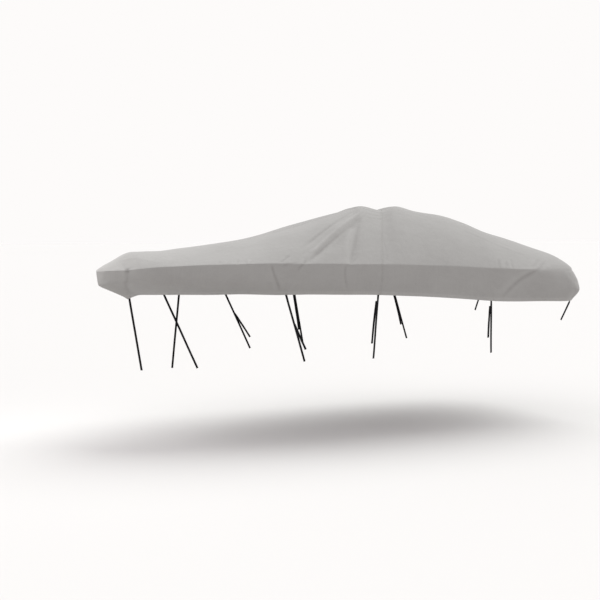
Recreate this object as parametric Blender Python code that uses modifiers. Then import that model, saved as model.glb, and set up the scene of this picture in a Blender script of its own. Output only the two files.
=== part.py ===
# Fitted cover for a V-hull runabout with a walk-through windshield, as it sits pulled tight over the boat:
# two cloth panels sewn together at a cross seam, and the webbing straps that pull the hem down.
# +X points to the stern, +Y to starboard and +Z up.

import math
from collections import namedtuple

import bmesh
import bpy
from mathutils import Vector

# ---------------------------------------------------------------- driving dimensions, in metres
LENGTH = 5.78            # bow tip to stern, measured along the keel
CLOTH = 0.0025           # thickness of the coated cloth
SEAM_GAP = 0.0003        # between two panels at their seam
STERN_CORNER = 0.24      # radius of the two stern corners, seen from above
TRANSOM_BOW = 0.05       # how far the middle of the stern stands aft of its corners
STEM_REACH = 0.355       # the hem closes under the bow this far aft of the tip
STEM_BLEND = 1.80        # aft of here the hem hangs straight below the rail
FOREFOOT = 0.5           # the stem runs down to this share of its height before it turns back under the bow
FOREFOOT_ROUND = 0.03    # how softly it turns there, as a share of its height
STEM_RAKE = 0.055        # the share of its reach that it has made there
STERN_BULGE = 0.10       # the skirt stands out this far at the stern corners
BULGE_AT = 0.68          # and furthest at this share of its way down
BULGE_ROUND = 0.08
STERN_TUCK = 0.01        # and its hem turns in this far
LEAN = 0.65              # the cross seam runs this much forward from the ridge down to the rail
LEAN_RIDGE = 3.59        # where the cross seam meets the ridge, aft of the bow tip
RIPPLE = 0.004           # unevenness of the cloth between its folds
MOST_STRETCH = 1.8       # a wall's slanted thickness at a sharp turn, as a multiple of its own

DECK_STRIPS = 13         # strips of faces from the ridge out to each rail
SKIRT_ROWS = [0.26, 0.50, 0.70, 0.86, 1.0]   # how far down the skirt each row of points lies

WEBBING_WIDTH = 0.025
WEBBING_THICKNESS = 0.0018
WEBBING_GAP = 0.0004     # between a strap and the cloth behind which it is sewn
WEBBING_LAP = 0.028      # how far a strap reaches up behind the hem
STRAP_DROP = 0.004       # below the hem before a strap bends towards its end
STRAP_TWIST = 0.08       # the share of its length in which a strap turns to face sideways
SEAT_MARGIN = 0.3        # a strap is sewn on at least this share of a face's length away from its ends

# The frame's origin is the point under the ridge on which the windshield holds the cloth up.
ORIGIN = Vector((3.29, 0.0, 1.0))

# The rail is the edge of the boat's deck, where the top turns down into the skirt.
Rail = namedtuple("Rail", "x half_beam height")
RAIL = [
    Rail(0.00, 0.000, 0.262),
    Rail(0.03, 0.115, 0.268),
    Rail(0.10, 0.245, 0.280),
    Rail(0.24, 0.410, 0.292),
    Rail(0.50, 0.640, 0.322),
    Rail(0.90, 0.868, 0.346),
    Rail(1.40, 1.040, 0.360),
    Rail(2.00, 1.150, 0.357),
    Rail(2.80, 1.200, 0.344),
    Rail(3.60, 1.205, 0.320),
    Rail(4.50, 1.185, 0.270),
    Rail(5.10, 1.160, 0.248),
    Rail(5.78, 1.110, 0.238),
]

# The ridge is the highest line, over the foredeck, the windshield, the seats and the engine box.
# crown shapes the top across the boat: 1 is a straight slope to the rail, 2 a round one.
Ridge = namedtuple("Ridge", "x height crown")
RIDGE = [
    Ridge(0.00, 0.262, 1.6),
    Ridge(0.18, 0.368, 1.6),
    Ridge(0.42, 0.482, 1.7),
    Ridge(0.72, 0.482, 1.8),
    Ridge(1.03, 0.515, 1.8),
    Ridge(1.43, 0.560, 1.8),
    Ridge(1.88, 0.626, 1.8),
    Ridge(2.30, 0.730, 1.8),
    Ridge(2.60, 0.794, 1.8),
    Ridge(2.90, 0.862, 1.8),
    Ridge(3.10, 0.924, 1.8),
    Ridge(3.20, 0.966, 1.8),
    Ridge(3.30, 1.012, 1.8),
    Ridge(3.60, 0.958, 1.8),
    Ridge(3.78, 1.007, 1.9),
    Ridge(4.05, 0.955, 2.0),
    Ridge(4.40, 0.905, 2.1),
    Ridge(4.70, 0.824, 2.2),
    Ridge(4.95, 0.724, 2.2),
    Ridge(5.35, 0.592, 2.2),
    Ridge(5.78, 0.418, 2.3),
]

# The hem follows the hull, which is narrower under the bow than the deck above it.
Hem = namedtuple("Hem", "x half_beam height")
HEM = [
    Hem(0.355, 0.000, -0.050),
    Hem(0.47, 0.110, 0.000),
    Hem(0.62, 0.250, 0.008),
    Hem(0.85, 0.450, 0.012),
    Hem(1.20, 0.690, 0.016),
    Hem(1.60, 0.880, 0.020),
    Hem(2.10, 1.040, 0.014),
    Hem(2.80, 1.140, 0.000),
    Hem(3.40, 1.170, -0.030),
    Hem(3.90, 1.172, -0.064),
    Hem(4.60, 1.155, -0.120),
    Hem(5.10, 1.130, -0.136),
    Hem(5.78, 1.080, -0.148),
]


def smooth(table, column, x):
    """The table's column at x, along a smooth curve through its rows."""
    xs = [row.x for row in table]
    ys = [getattr(row, column) for row in table]
    x = min(max(x, xs[0]), xs[-1])
    i = max(k for k in range(len(xs) - 1) if xs[k] <= x)

    def slope(k):
        if k in (0, len(xs) - 1):
            j = min(k, len(xs) - 2)
            return (ys[j + 1] - ys[j]) / (xs[j + 1] - xs[j])
        before = (ys[k] - ys[k - 1]) / (xs[k] - xs[k - 1])
        after = (ys[k + 1] - ys[k]) / (xs[k + 1] - xs[k])
        if before * after <= 0:
            return 0.0
        return 2 * before * after / (before + after)

    span = xs[i + 1] - xs[i]
    t = (x - xs[i]) / span
    rise = ys[i + 1] - ys[i]
    a = slope(i) * span - rise
    b = rise - slope(i + 1) * span
    return ys[i] + t * rise + t * (1 - t) * ((1 - t) * a + t * b)


# ---------------------------------------------------------------- the lie of the cloth

# Rows of points along the ridge, close together where the cloth turns or folds.
Bay = namedtuple("Bay", "end rows")
BAYS = [
    Bay(0.46, 7),
    Bay(2.00, 14),
    Bay(LEAN_RIDGE, 23),
    Bay(4.30, 9),
    Bay(LENGTH - STERN_CORNER, 10),
    Bay(LENGTH, 4),
]


def station_positions():
    """Ridge position of each row of points, from the bow tip to the stern."""
    positions = [0.0]
    for bay in BAYS:
        start = positions[-1]
        for row in range(1, bay.rows + 1):
            t = row / bay.rows
            if start == 0.0:
                t = t * t
            elif bay.end == LENGTH:
                t = math.sin(t * math.pi / 2)
            positions.append(start + (bay.end - start) * t)
    return positions


STATION_X = station_positions()
SEAM_STATION = min(range(len(STATION_X)), key=lambda i: abs(STATION_X[i] - LEAN_RIDGE))


def ramp(x, start, end):
    """0 before start, 1 after end, smooth between."""
    t = min(max((x - start) / (end - start), 0.0), 1.0)
    return t * t * (3 - 2 * t)


def lean(ridge_x):
    """How far forward of its ridge point a row of points meets the rail."""
    span = LEAN_RIDGE if ridge_x < LEAN_RIDGE else LENGTH - LEAN_RIDGE
    return LEAN * (1 - ((ridge_x - LEAN_RIDGE) / span) ** 2) ** 2


def ridge_from(x, v):
    """The ridge position of the row that passes through x at v of the way out to the rail."""
    ridge_x = x
    for _ in range(30):
        ridge_x = x + lean(min(ridge_x, LENGTH)) * min(v, 1.0)
    return min(ridge_x, LENGTH)


def rounded_corner(half, x, radius):
    """Half the width at x of an outline whose stern corners have this radius."""
    into = x - (LENGTH - radius)
    if into <= 0:
        return half
    return half - radius + math.sqrt(max(radius ** 2 - into ** 2, 0.0))


def half_beam(x):
    return rounded_corner(smooth(RAIL, "half_beam", x), x, STERN_CORNER)


def deck_point(ridge_x, v, side):
    """A point of the top: v is 0 on the ridge and 1 at the rail, side -1 to port and 1 to starboard."""
    rail_x = ridge_x - lean(ridge_x)
    rail = smooth(RAIL, "height", rail_x)
    ridge = smooth(RIDGE, "height", ridge_x)
    crown = smooth(RIDGE, "crown", ridge_x)
    stern = TRANSOM_BOW * (1 - v * v) * ramp(ridge_x, 5.0, LENGTH)
    x = ridge_x + (rail_x - ridge_x) * v + stern
    return Vector((x, side * v * half_beam(rail_x), rail + (ridge - rail) * (1 - v ** crown)))


def hem_point(ridge_x, v, side):
    """The hem under a point of the rail (v is 1) or of the stern edge (v under 1)."""
    rail_x = ridge_x - lean(ridge_x)
    x = rail_x + STEM_REACH * max(1 - rail_x / STEM_BLEND, 0.0) ** 2
    half = rounded_corner(smooth(HEM, "half_beam", x), x, STERN_CORNER)
    x += TRANSOM_BOW * (1 - v * v) * ramp(ridge_x, 5.0, LENGTH)
    return Vector((x, side * v * half, smooth(HEM, "height", x)))


def outward(ridge_x, v, side):
    """The level direction out of the boat at a point of the rail."""
    if v < 1:
        return Vector((1, 0, 0))
    x = ridge_x - lean(ridge_x)
    step = 0.0005
    low, high = max(x - step, 0.0), min(x + step, LENGTH)
    grows = (half_beam(high) - half_beam(low)) / (high - low)
    return Vector((-grows, side, 0)).normalized()


def soft_above(x, start, roundness):
    """x - start above start and 0 below it, with the corner rounded."""
    return (x - start + math.sqrt((x - start) ** 2 + roundness ** 2)) / 2


def skirt_point(ridge_x, v, side, w):
    """A point of the skirt: w is 0 at the rail and 1 at the hem."""
    top, hem = deck_point(ridge_x, v, side), hem_point(ridge_x, v, side)
    under = (1 - STEM_RAKE / FOREFOOT) / (1 - FOREFOOT)
    stem = STEM_RAKE / FOREFOOT * w + under * soft_above(w, FOREFOOT, FOREFOOT_ROUND)
    inward = w ** 3 + (stem - w ** 3) * (1 - ramp(ridge_x, 0.0, 0.45))
    point = Vector((
        top.x + (hem.x - top.x) * inward,
        top.y + (hem.y - top.y) * inward,
        top.z + (hem.z - top.z) * w,
    ))
    stern = ramp(ridge_x - lean(ridge_x), 4.9, LENGTH) * (0.4 + 0.6 * v)
    rise = w / BULGE_AT - soft_above(w, BULGE_AT, BULGE_ROUND) / (BULGE_AT * (1 - BULGE_AT))
    swell = STERN_BULGE * rise - STERN_TUCK * w ** 4
    return point + outward(ridge_x, v, side) * stern * swell


def cloth_point(x, t, side):
    """The cloth at x: t runs from 0 on the ridge through 1 at the rail to 2 at the hem."""
    ridge_x = ridge_from(x, t)
    if t <= 1:
        return deck_point(ridge_x, t, side)
    return skirt_point(ridge_x, 1.0, side, t - 1)


# ---------------------------------------------------------------- folds

# Each fold runs through three points of the cloth, given by x and by t as above. Its height is above the
# cloth around it, and less than 0 is a trough. The width is across the fold at its start and at its end.
Fold = namedtuple("Fold", "side x1 t1 x2 t2 x3 t3 height start_width end_width")
PORT, STARBOARD = -1, 1
FOLDS = [
    # The crease that runs forward and down from the top of the windshield, with a hollow under it.
    Fold(PORT, 3.13, 0.21, 2.54, 0.55, 1.98, 0.98, 0.014, 0.16, 0.11),
    Fold(PORT, 3.07, 0.33, 2.60, 0.68, 2.08, 0.94, -0.013, 0.16, 0.12),
    Fold(PORT, 2.95, 0.52, 2.74, 0.75, 2.53, 0.98, -0.012, 0.14, 0.12),
    Fold(STARBOARD, 3.02, 0.36, 2.56, 0.66, 2.10, 0.90, 0.011, 0.16, 0.11),
    Fold(STARBOARD, 2.96, 0.48, 2.52, 0.76, 2.08, 0.96, -0.009, 0.14, 0.12),
    Fold(STARBOARD, 3.00, 0.46, 2.74, 0.80, 2.50, 1.04, -0.010, 0.14, 0.12),
    # Where a strap draws the skirt down.
    Fold(PORT, 1.63, 1.02, 1.66, 1.48, 1.79, 1.94, -0.007, 0.09, 0.08),
    Fold(PORT, 2.50, 1.00, 2.45, 1.38, 2.53, 1.84, -0.005, 0.08, 0.08),
    Fold(STARBOARD, 1.70, 1.02, 1.70, 1.48, 1.80, 1.94, -0.007, 0.09, 0.08),
    Fold(PORT, 0.22, 0.94, 0.26, 1.45, 0.07, 1.92, -0.006, 0.08, 0.07),
    Fold(STARBOARD, 0.23, 0.98, 0.27, 1.45, 0.08, 1.92, -0.005, 0.08, 0.07),
    # The diagonal pull across each stern corner.
    Fold(PORT, 5.33, 0.87, 4.80, 1.10, 4.59, 1.86, -0.008, 0.10, 0.08),
    Fold(STARBOARD, 5.30, 0.88, 4.86, 1.18, 4.62, 1.88, -0.008, 0.10, 0.08),
]


def fold_path(fold):
    """Points along the fold, with its half width at each and how much of its height it has there."""
    path = []
    steps = 24
    for step in range(steps + 1):
        s = step / steps
        x = (1 - s) ** 2 * fold.x1 + 2 * s * (1 - s) * fold.x2 + s * s * fold.x3
        t = (1 - s) ** 2 * fold.t1 + 2 * s * (1 - s) * fold.t2 + s * s * fold.t3
        width = fold.start_width + (fold.end_width - fold.start_width) * s
        strength = ramp(s, -0.05, 0.15) * (1 - ramp(s, 0.70, 1.05))
        path.append((cloth_point(x, t, fold.side), width / 2, strength))
    return path


def fold_height(paths, point):
    """How far the folds lift the cloth at this point."""
    lift = 0.0
    for fold, path in paths:
        if fold.side * point.y < -0.15:
            continue
        best = min(path, key=lambda p: (p[0] - point).length_squared)
        q = (best[0] - point).length / best[1]
        lift += fold.height * best[2] * math.exp(-q * q * 1.4)
    return lift


def ripple(point):
    """The cloth's own slight unevenness."""
    wave = math.sin(3.7 * point.x + 1.9 * point.y + 0.6) * math.sin(5.3 * point.y - 1.1 * point.x)
    return RIPPLE * (wave + 0.6 * math.sin(8.3 * point.x - 4.1 * point.y + 2.0))


# ---------------------------------------------------------------- straps

# Each strap is sewn behind the hem at hem_x and drawn tight to its end, which is given as out from the keel
# line and as a height. Both sides have the same straps but for the foremost.
Strap = namedtuple("Strap", "name sides hem_x end_x end_out end_height")
STRAPS = [
    Strap("fore", (PORT,), 0.677, 1.040, 0.38, -0.820),
    Strap("fore", (STARBOARD,), 1.220, 1.000, 0.38, -0.900),
    Strap("mid", (PORT, STARBOARD), 1.851, 2.168, 0.80, -0.757),
    Strap("windshield", (PORT, STARBOARD), 2.930, 2.966, 0.95, -0.745),
    Strap("aft", (PORT, STARBOARD), 4.462, 4.539, 1.00, -0.745),
    Strap("stern", (PORT, STARBOARD), 5.700, 5.600, 0.95, -0.392),
]
BOW_STRAP_RISE = 0.016   # the bow strap reaches up this far behind the hem at the stem
BOW_STRAP_END = Vector((0.510, 0.0, -0.861))

# The loose end of a strap hangs just inside it. down is how far along the strap it starts and ends, shift is
# how far aft of the strap it lies there, and end_behind how far its free end stands in from the strap.
Tail = namedtuple("Tail", "strap down shift end_down end_shift end_behind")
TAILS = [
    Tail("mid", 0.44, 0.004, 0.85, 0.055, 0.014),
    Tail("windshield", 0.09, -0.016, 0.76, -0.029, 0.010),
    Tail("aft", 0.09, -0.016, 0.70, -0.034, 0.009),
]
TAIL_CURL = 0.005        # how far a loose end bows away from a straight line
TAIL_STEPS = 6


# ---------------------------------------------------------------- the cloth as one surface

class Surface:
    """The outer face of the whole cover: its points, and its faces with the station each lies behind."""

    def __init__(self):
        self.points = []
        self.faces = []
        self.deck = {}
        self.skirt = {}
        self.loop = []
        self.inner = []

    def add(self, point):
        self.points.append(point)
        return len(self.points) - 1


def across(j):
    """v and side for the deck's line of points number j, negative to port."""
    return abs(j) / DECK_STRIPS, -1 if j < 0 else 1


def base_surface():
    """The fitted shape without folds: a top crowned over the boat, and a skirt round its rail."""
    surface = Surface()
    last = len(STATION_X) - 1
    lines = range(-DECK_STRIPS, DECK_STRIPS + 1)
    tip = surface.add(deck_point(0.0, 0.0, 1))
    for i, ridge_x in enumerate(STATION_X):
        for j in lines:
            surface.deck[i, j] = tip if i == 0 else surface.add(deck_point(ridge_x, *across(j)))
    for i in range(last):
        for j in lines[:-1]:
            corners = [surface.deck[i, j], surface.deck[i + 1, j],
                       surface.deck[i + 1, j + 1], surface.deck[i, j + 1]]
            if i == 0:
                corners.pop()
            surface.faces.append((corners, i))

    # The skirt hangs from the tip, down the port side, across the stern and back up to starboard.
    port = [(i, -DECK_STRIPS) for i in range(1, last + 1)]
    stern = [(last, j) for j in range(-DECK_STRIPS + 1, DECK_STRIPS)]
    starboard = [(i, DECK_STRIPS) for i in range(last, 0, -1)]
    loop = [(0, 0)] + port + stern + starboard
    for k, (i, j) in enumerate(loop):
        v, side = across(j)
        surface.skirt[k, 0] = surface.deck[i, j]
        for m, w in enumerate(SKIRT_ROWS, start=1):
            surface.skirt[k, m] = surface.add(skirt_point(STATION_X[i], 1.0 if i == 0 else v, side, w))
    for k in range(len(loop)):
        after = (k + 1) % len(loop)
        station = min(loop[k][0], loop[after][0])
        for m in range(len(SKIRT_ROWS)):
            corners = [surface.skirt[k, m], surface.skirt[k, m + 1],
                       surface.skirt[after, m + 1], surface.skirt[after, m]]
            surface.faces.append((corners, station))
    surface.loop = loop
    return surface


def point_normals(points, faces):
    """Each point's outward direction, and how much a wall must be stretched there to keep its thickness,
    from how far the faces around the point turn away from that direction."""
    mesh = bmesh.new()
    verts = [mesh.verts.new(p) for p in points]
    for corners, _ in faces:
        mesh.faces.new([verts[c] for c in corners])
    mesh.normal_update()
    normals = []
    for vert in verts:
        turns = [vert.normal.dot(face.normal) for face in vert.link_faces]
        facing = (min(turns) + min(max(turns), 1.0)) / 2
        normals.append((vert.normal.copy(), 1 / max(facing, 1 / MOST_STRETCH)))
    mesh.free()
    return normals


def folded_surface():
    """The surface with its folds, and the matching point of its inner face for each outer one."""
    surface = base_surface()
    paths = [(fold, fold_path(fold)) for fold in FOLDS]
    normals = point_normals(surface.points, surface.faces)
    surface.points = [
        point + normal * (fold_height(paths, point) + ripple(point))
        for point, (normal, _) in zip(surface.points, normals)
    ]
    normals = point_normals(surface.points, surface.faces)
    surface.inner = [
        point - normal * (CLOTH * stretch) for point, (normal, stretch) in zip(surface.points, normals)
    ]
    return surface


# ---------------------------------------------------------------- pieces

def material(name, colour, roughness):
    made = bpy.data.materials.new(name)
    made.use_nodes = True
    shader = made.node_tree.nodes["Principled BSDF"]
    shader.inputs["Base Color"].default_value = (*colour, 1)
    shader.inputs["Roughness"].default_value = roughness
    shader.inputs["Metallic"].default_value = 0
    return made


def new_object(name, mesh, collection, finish):
    mesh.materials.append(finish)
    made = bpy.data.objects.new(name, mesh)
    collection.objects.link(made)
    return made


def cloth_panel(name, surface, is_mine, collection, finish):
    """One panel: the faces that are its own, given the cloth's thickness and drawn back from the seam."""
    mine = [(corners, station) for corners, station in surface.faces if is_mine(station)]
    other = {c for corners, station in surface.faces if not is_mine(station) for c in corners}
    used = sorted({c for corners, _ in mine for c in corners})
    towards = {}
    for corners, _ in mine:
        middle = sum((surface.points[c] for c in corners), Vector()) / len(corners)
        for c in set(corners) & other:
            towards.setdefault(c, []).append(middle - surface.points[c])
    mesh = bmesh.new()
    outer, inner = {}, {}
    for c in used:
        back = Vector()
        if c in towards:
            along = [p for p in used if p in other]
            nearest = sorted(along, key=lambda p: (surface.points[p] - surface.points[c]).length)[1]
            edge = (surface.points[nearest] - surface.points[c]).normalized()
            back = sum(towards[c], Vector())
            back -= edge * back.dot(edge)
            back = back.normalized() * SEAM_GAP * 0.6
        outer[c] = mesh.verts.new(surface.points[c] + back - ORIGIN)
        inner[c] = mesh.verts.new(surface.inner[c] + back - ORIGIN)
    sides = {}
    for corners, _ in mine:
        mesh.faces.new([outer[c] for c in corners])
        mesh.faces.new([inner[c] for c in reversed(corners)])
        for a, b in zip(corners, corners[1:] + corners[:1]):
            sides[a, b] = True
    for a, b in sides:
        if (b, a) in sides:
            continue
        # Both panels split a seam's wall along the same diagonal, so that the two stay parallel.
        if a < b:
            triangles = [(outer[b], outer[a], inner[b]), (outer[a], inner[a], inner[b])]
        else:
            triangles = [(outer[b], outer[a], inner[a]), (outer[b], inner[a], inner[b])]
        for corners in triangles:
            mesh.faces.new(corners)
    data = bpy.data.meshes.new(name)
    mesh.to_mesh(data)
    mesh.free()
    data.shade_smooth()
    data.set_sharp_from_angle(angle=math.radians(40))
    return new_object(name, data, collection, finish)


def webbing_strip(name, path, collection, finish):
    """Flat webbing through a path of points, each with the direction of the webbing's width there."""
    mesh = bmesh.new()
    edges = []
    for point, width in path:
        half = width * WEBBING_WIDTH / 2
        edges.append((mesh.verts.new(point - half - ORIGIN), mesh.verts.new(point + half - ORIGIN)))
    for (a, b), (c, d) in zip(edges, edges[1:]):
        mesh.faces.new((a, b, d, c))
    data = bpy.data.meshes.new(name)
    mesh.to_mesh(data)
    mesh.free()
    strip = new_object(name, data, collection, finish)
    thicken = strip.modifiers.new("thickness", "SOLIDIFY")
    thicken.thickness = WEBBING_THICKNESS
    thicken.offset = 0
    return strip


def skirt_seat(surface, side, hem_x):
    """Where a strap passes behind the hem: the point, the way along the hem, the way up the skirt's inner
    face, the way in from it, and how far the face comes in by the strap's upper end."""
    last = len(SKIRT_ROWS)
    for k, (i, j) in enumerate(surface.loop[:-1]):
        after = k + 1
        if j != side * DECK_STRIPS or surface.loop[after][1] != j:
            continue
        hem = [surface.inner[surface.skirt[n, last]] for n in (k, after)]
        above = [surface.inner[surface.skirt[n, last - 1]] for n in (k, after)]
        if min(hem[0].x, hem[1].x) <= hem_x <= max(hem[0].x, hem[1].x):
            share = (hem_x - hem[0].x) / (hem[1].x - hem[0].x)
            share = min(max(share, SEAT_MARGIN), 1 - SEAT_MARGIN)
            seat = hem[0].lerp(hem[1], share)
            along = (hem[1] - hem[0]).normalized()
            up = above[0].lerp(above[1], share) - seat
            up -= along * up.dot(along)
            inward = along.cross(up).normalized()
            if inward.dot(Vector((LENGTH / 2, 0, seat.z)) - seat) < 0:
                inward = -inward
            comes_in = max(0.0, *((point - seat).dot(inward) for point in above))
            return seat, along, up.normalized(), inward, comes_in * WEBBING_LAP / up.length
    raise ValueError("no part of the skirt lies at this place")


def side_strap(surface, strap, side, collection, finish):
    """A strap from behind the hem to its end, with its loose end if it has one."""
    label = "port" if side == PORT else "starboard"
    seat, along, up, inward, comes_in = skirt_seat(surface, side, strap.hem_x)
    end = Vector((strap.end_x, side * strap.end_out, strap.end_height))
    off = inward * (comes_in + WEBBING_GAP + WEBBING_THICKNESS / 2)
    below = seat - up * STRAP_DROP + off
    pull = (end - below).normalized()
    aft = Vector((1, 0, 0))
    slanted = (aft - pull * pull.dot(aft)).normalized()
    if along.x < 0:
        along = -along
    path = [
        (seat + up * WEBBING_LAP + off, along),
        (below, along),
        (below.lerp(end, STRAP_TWIST), slanted),
        (end, slanted),
    ]
    webbing_strip(f"strap_{label}_{strap.name}", path, collection, finish)

    behind = slanted.cross(pull)
    if behind.dot(inward) < 0:
        behind = -behind
    close = WEBBING_THICKNESS + WEBBING_GAP
    for tail in TAILS:
        if tail.strap != strap.name:
            continue
        hang = []
        for n in range(TAIL_STEPS + 1):
            t = n / TAIL_STEPS
            down = tail.down + (tail.end_down - tail.down) * t
            shift = tail.shift + (tail.end_shift - tail.shift) * t
            depth = close + (tail.end_behind - close) * t + TAIL_CURL * math.sin(math.pi * t)
            hang.append((below.lerp(end, down) + slanted * shift + behind * depth, slanted))
        webbing_strip(f"tail_{label}_{strap.name}", hang, collection, finish)


def main():
    for old in list(bpy.data.objects):
        bpy.data.objects.remove(old, do_unlink=True)
    parts = bpy.data.collections.new("boat_cover")
    bpy.context.scene.collection.children.link(parts)

    polyester = material("coated polyester", (0.376, 0.352, 0.319), 0.85)
    webbing = material("black webbing", (0.015, 0.015, 0.017), 0.7)

    surface = folded_surface()
    cloth_panel("bow_panel", surface, lambda s: s < SEAM_STATION, parts, polyester)
    cloth_panel("stern_panel", surface, lambda s: s >= SEAM_STATION, parts, polyester)
    aft = Vector((1, 0, 0))
    stem_hem = surface.inner[surface.skirt[0, len(SKIRT_ROWS)]]
    bow_strap_top = stem_hem + aft * (WEBBING_WIDTH / 2 + WEBBING_GAP) + Vector((0, 0, BOW_STRAP_RISE))
    webbing_strip("strap_bow", [(bow_strap_top, aft), (BOW_STRAP_END, aft)], parts, webbing)
    for strap in STRAPS:
        for side in strap.sides:
            side_strap(surface, strap, side, parts, webbing)


main()
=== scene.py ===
import math

import bpy
import numpy as np
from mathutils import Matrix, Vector, noise


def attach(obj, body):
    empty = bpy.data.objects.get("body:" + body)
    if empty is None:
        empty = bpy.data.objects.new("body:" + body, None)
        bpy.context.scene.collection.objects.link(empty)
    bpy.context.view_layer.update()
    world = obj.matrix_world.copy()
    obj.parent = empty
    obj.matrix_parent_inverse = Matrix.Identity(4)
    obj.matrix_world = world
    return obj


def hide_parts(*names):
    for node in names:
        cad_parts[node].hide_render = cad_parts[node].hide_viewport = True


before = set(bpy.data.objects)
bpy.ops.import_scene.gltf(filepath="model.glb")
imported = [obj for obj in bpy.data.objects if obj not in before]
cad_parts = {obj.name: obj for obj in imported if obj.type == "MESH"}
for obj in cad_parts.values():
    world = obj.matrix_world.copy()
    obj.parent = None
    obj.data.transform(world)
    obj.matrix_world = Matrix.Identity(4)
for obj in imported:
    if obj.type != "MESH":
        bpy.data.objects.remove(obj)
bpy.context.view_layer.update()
scene = bpy.context.scene
port, starboard = -1, 1

# how the cover lies on the boat: x runs aft from the bow tip, y to starboard, in metres
coverShape = {
    "origin": (3.29, 0.0, 1.0),      # where the frame's origin lies, under the windshield's peak
    "length": 5.78,
    "sternCorner": 0.24,             # radius of the stern corners, seen from above
    "transomBow": 0.05,              # the middle of the stern stands this far aft
    "transomFrom": 5.0,              # and the cloth's rows bend that way from here on
    "stemReach": 0.355,              # the hem closes under the bow this far aft of the tip
    "stemBlend": 1.80,               # and lies straight below the rail from here on
    "stemRound": 0.45,               # the stem's profile is gone from the skirt by here
    "forefoot": 0.5,                 # the stem runs down to this share of its height, then turns back under,
    "forefootRound": 0.03,
    "stemRake": 0.055,               # and has made this share of its reach there
    "sternBulge": 0.10,              # the skirt stands out at the stern corners,
    "bulgeFrom": 4.9,                # from here on,
    "bulgeMiddle": 0.4,              # with this share of it in the middle of the stern,
    "bulgeAt": 0.68,                 # furthest at this share of its way down,
    "bulgeRound": 0.08,
    "sternTuck": 0.01,               # and its hem is drawn in this far
    "lean": 0.65,                    # the cross seam runs this far forward down to the rail
    "leanRidge": 3.59,               # and meets the ridge here
    "rail": [                        # x, half beam, height: the edge where the top turns down
        (0.00, 0.000, 0.262), (0.03, 0.115, 0.268), (0.10, 0.245, 0.280), (0.24, 0.410, 0.292),
        (0.50, 0.640, 0.322), (0.90, 0.868, 0.346), (1.40, 1.040, 0.360), (2.00, 1.150, 0.357),
        (2.80, 1.200, 0.344), (3.60, 1.205, 0.320), (4.50, 1.185, 0.270), (5.10, 1.160, 0.248),
        (5.78, 1.110, 0.238)],
    "ridge": [                       # x, height, crown: 1 is a straight slope to the rail, 2 a round one
        (0.00, 0.262, 1.6), (0.05, 0.304, 1.6), (0.18, 0.376, 1.6), (0.42, 0.482, 1.7),
        (0.72, 0.482, 1.8), (1.03, 0.515, 1.8), (1.43, 0.560, 1.8), (1.88, 0.626, 1.8),
        (2.30, 0.720, 1.8), (2.60, 0.804, 1.8), (2.90, 0.890, 1.75), (3.10, 0.943, 1.6),
        (3.20, 0.973, 1.5), (3.30, 1.013, 1.5), (3.60, 0.958, 1.6), (3.78, 1.007, 1.75),
        (4.05, 0.955, 1.9), (4.40, 0.905, 2.1), (4.70, 0.820, 2.2), (4.95, 0.716, 2.2),
        (5.35, 0.592, 2.2), (5.78, 0.418, 2.3)],
    "hem": [                         # x, half beam, height
        (0.355, 0.000, -0.050), (0.47, 0.110, 0.000), (0.62, 0.250, 0.008), (0.85, 0.450, 0.012),
        (1.20, 0.690, 0.016), (1.60, 0.880, 0.020), (2.10, 1.040, 0.014), (2.80, 1.140, 0.000),
        (3.40, 1.170, -0.030), (3.90, 1.172, -0.064), (4.60, 1.155, -0.120), (5.10, 1.130, -0.136),
        (5.78, 1.080, -0.148)],
}
seamAt, coverLength = coverShape["leanRidge"], coverShape["length"]


def curveThrough(rows, column):
    # a smooth curve through one column of rows, which never overshoots them
    xs = np.array([row[0] for row in rows])
    ys = np.array([row[column] for row in rows])
    step, rise = np.diff(xs), np.diff(ys)
    pitch = rise / step
    slope = np.concatenate([pitch[:1], np.zeros(len(xs) - 2), pitch[-1:]])
    sameWay = pitch[:-1] * pitch[1:] > 0
    total = np.where(sameWay, pitch[:-1] + pitch[1:], 1)
    slope[1:-1] = np.where(sameWay, 2 * pitch[:-1] * pitch[1:] / total, 0)

    def at(x):
        x = np.clip(x, xs[0], xs[-1])
        i = np.clip(np.searchsorted(xs, x, side="right") - 1, 0, len(xs) - 2)
        t = (x - xs[i]) / step[i]
        a = slope[i] * step[i] - rise[i]
        b = rise[i] - slope[i + 1] * step[i]
        return ys[i] + t * rise[i] + t * (1 - t) * ((1 - t) * a + t * b)
    return at


railHalf, railHeight = (curveThrough(coverShape["rail"], c) for c in (1, 2))
ridgeHeight, ridgeCrown = (curveThrough(coverShape["ridge"], c) for c in (1, 2))
hemHalf, hemHeight = (curveThrough(coverShape["hem"], c) for c in (1, 2))


def ramp(x, start, end):
    t = np.clip((x - start) / (end - start), 0, 1)
    return t * t * (3 - 2 * t)


def leanAt(r):
    # how far forward of its place r on the ridge a row of cloth meets the rail
    span = np.where(r < seamAt, seamAt, coverLength - seamAt)
    return coverShape["lean"] * (1 - np.clip((r - seamAt) / span, -1, 1) ** 2) ** 2


def roundCorner(half, x):
    radius = coverShape["sternCorner"]
    into = np.clip(x - (coverLength - radius), 0, radius)
    return half - radius + np.sqrt(radius ** 2 - into ** 2)


def halfBeam(x):
    return roundCorner(railHalf(x), x)


def transomReach(r, v):
    return coverShape["transomBow"] * (1 - v * v) * ramp(r, coverShape["transomFrom"], coverLength)


def deckPoint(r, v, side):
    # r is where the row of cloth crosses the ridge, v is 0 there and 1 at the rail
    railX = r - leanAt(r)
    low, high = railHeight(railX), ridgeHeight(r)
    x = r + (railX - r) * v + transomReach(r, v)
    height = low + (high - low) * (1 - v ** ridgeCrown(r))
    return np.stack(np.broadcast_arrays(x, side * v * halfBeam(railX), height), -1)


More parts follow.
